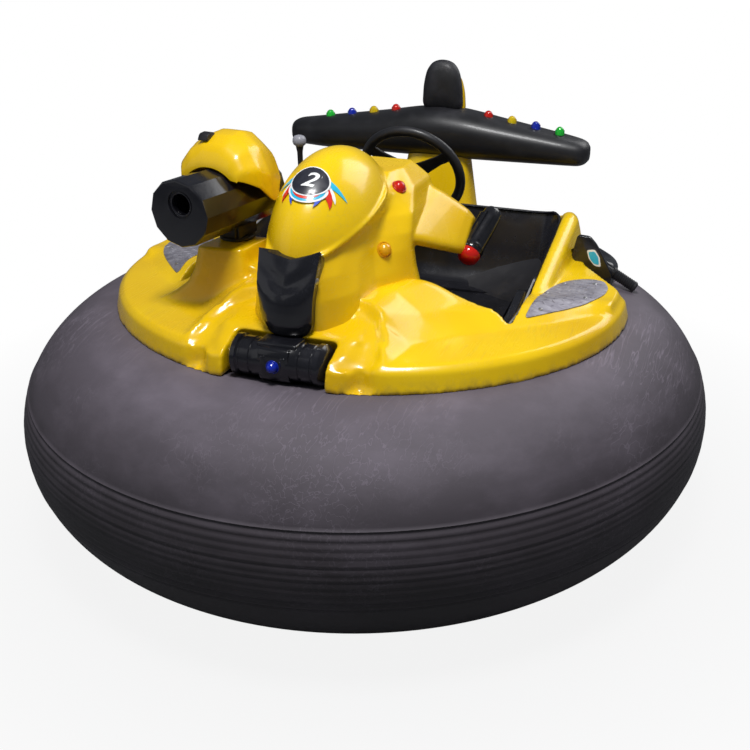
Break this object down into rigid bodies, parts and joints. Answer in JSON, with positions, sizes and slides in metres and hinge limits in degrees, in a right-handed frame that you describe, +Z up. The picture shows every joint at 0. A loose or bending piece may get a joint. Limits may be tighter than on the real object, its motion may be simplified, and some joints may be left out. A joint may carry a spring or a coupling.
{
  "type": "bumper car",
  "caption": "Bumper car on a big inflated tube: moulded body with round nose, toy cannon, arched rear wing with dome lamps, bucket seat, steering wheel and steered drive wheel.",
  "frame": {"origin": "on the floor under the centre of the tube", "axes": "+Z up, -Y to the front of the car, +X to its left side"},
  "size_m": [1.9573, 1.9574, 1.187],
  "materials": {
    "tube_rubber": "black rubber, dusty and lightly scuffed",
    "valve_brass": "bare brass",
    "frame_paint": "black paint",
    "tub_grey": "dark moulded lining",
    "battery_case": "plain case",
    "pedal_black": "black rubber",
    "motor_black": "black paint",
    "tyre": "black rubber",
    "rim_grey": "grey nylon",
    "body_yellow": "glossy gel coat",
    "gloss_black": "glossy black",
    "satin_black": "satin black",
    "seat_black": "glossy moulded seat",
    "step_aluminium": "worn patterned sheet",
    "lens_red": "clear red lens",
    "lens_amber": "clear amber lens",
    "lens_yellow": "clear yellow lens",
    "lens_blue": "clear blue lens",
    "lens_green": "clear green lens"
  },
  "bodies": {
    "car": {"bumper_tube": "tube_rubber", "tube_valve": "valve_brass", "chassis_frame": "frame_paint", "floor_tub": "tub_grey", "battery_block": "battery_case", "pedal": "pedal_black", "body_shell": "body_yellow", "cowl": "body_yellow", "arm_left": "body_yellow", "arm_right": "body_yellow", "pod_left": "gloss_black", "pod_right": "gloss_black", "pod_lenses": "lens_red", "lamp_bar": "gloss_black", "blue_lamp": "lens_blue", "grille_plate": "gloss_black", "cannon_pedestal": "body_yellow", "steering_column": "satin_black", "seat": "seat_black", "seat_surround": "body_yellow", "headrest": "satin_black", "wing_lamps_red": "lens_red", "wing_lamps_yellow": "lens_yellow", "wing_lamps_blue": "lens_blue", "wing_lamps_green": "lens_green", "rear_wing": "gloss_black", "rear_column": "body_yellow", "rear_cover": "gloss_black", "rear_handles": "satin_black", "footplate_left": "step_aluminium", "footplate_right": "step_aluminium", "control_stick": "satin_black", "body_lamps_red": "lens_red", "body_lamps_amber": "lens_amber"},
    "steering_wheel": {"steering_wheel": "satin_black"},
    "drive_fork": {"drive_fork": "frame_paint", "drive_motor": "motor_black"},
    "drive_wheel": {"drive_tyre": "tyre", "drive_rim": "rim_grey"},
    "rear_wheel_left": {"rear_tyre_left": "tyre", "rear_rim_left": "rim_grey"},
    "rear_wheel_right": {"rear_tyre_right": "tyre", "rear_rim_right": "rim_grey"},
    "cannon": {"cannon_bracket": "satin_black", "cannon_barrel": "gloss_black", "cannon_hood": "body_yellow"}
  },
  "joints": [
    {"name": "steering", "type": "hinge", "parent": "car", "child": "steering_wheel", "pos_m": [0, 0.33, 0.872], "axis": [0, 0.9063, 0.4226], "range_deg": [-180, 180]},
    {"name": "drive_steer", "type": "hinge", "parent": "car", "child": "drive_fork", "pos_m": [0, -0.19, 0.2], "axis": [0, 0, 1], "range_deg": [-90, 90]},
    {"name": "drive_spin", "type": "hinge", "parent": "drive_fork", "child": "drive_wheel", "pos_m": [0, -0.19, 0.088], "axis": [1, 0, 0], "continuous": true},
    {"name": "rear_spin_left", "type": "hinge", "parent": "car", "child": "rear_wheel_left", "pos_m": [0.225, 0.215, 0.08], "axis": [1, 0, 0], "continuous": true},
    {"name": "rear_spin_right", "type": "hinge", "parent": "car", "child": "rear_wheel_right", "pos_m": [-0.225, 0.215, 0.08], "axis": [1, 0, 0], "continuous": true},
    {"name": "cannon_traverse", "type": "hinge", "parent": "car", "child": "cannon", "pos_m": [-0.29, -0.255, 0.805], "axis": [0, 0, 1], "range_deg": [-10, 14]}
  ],
  "couplings": [
    {"joint": "drive_steer", "follows": "steering", "ratio": 0.5}
  ]
}
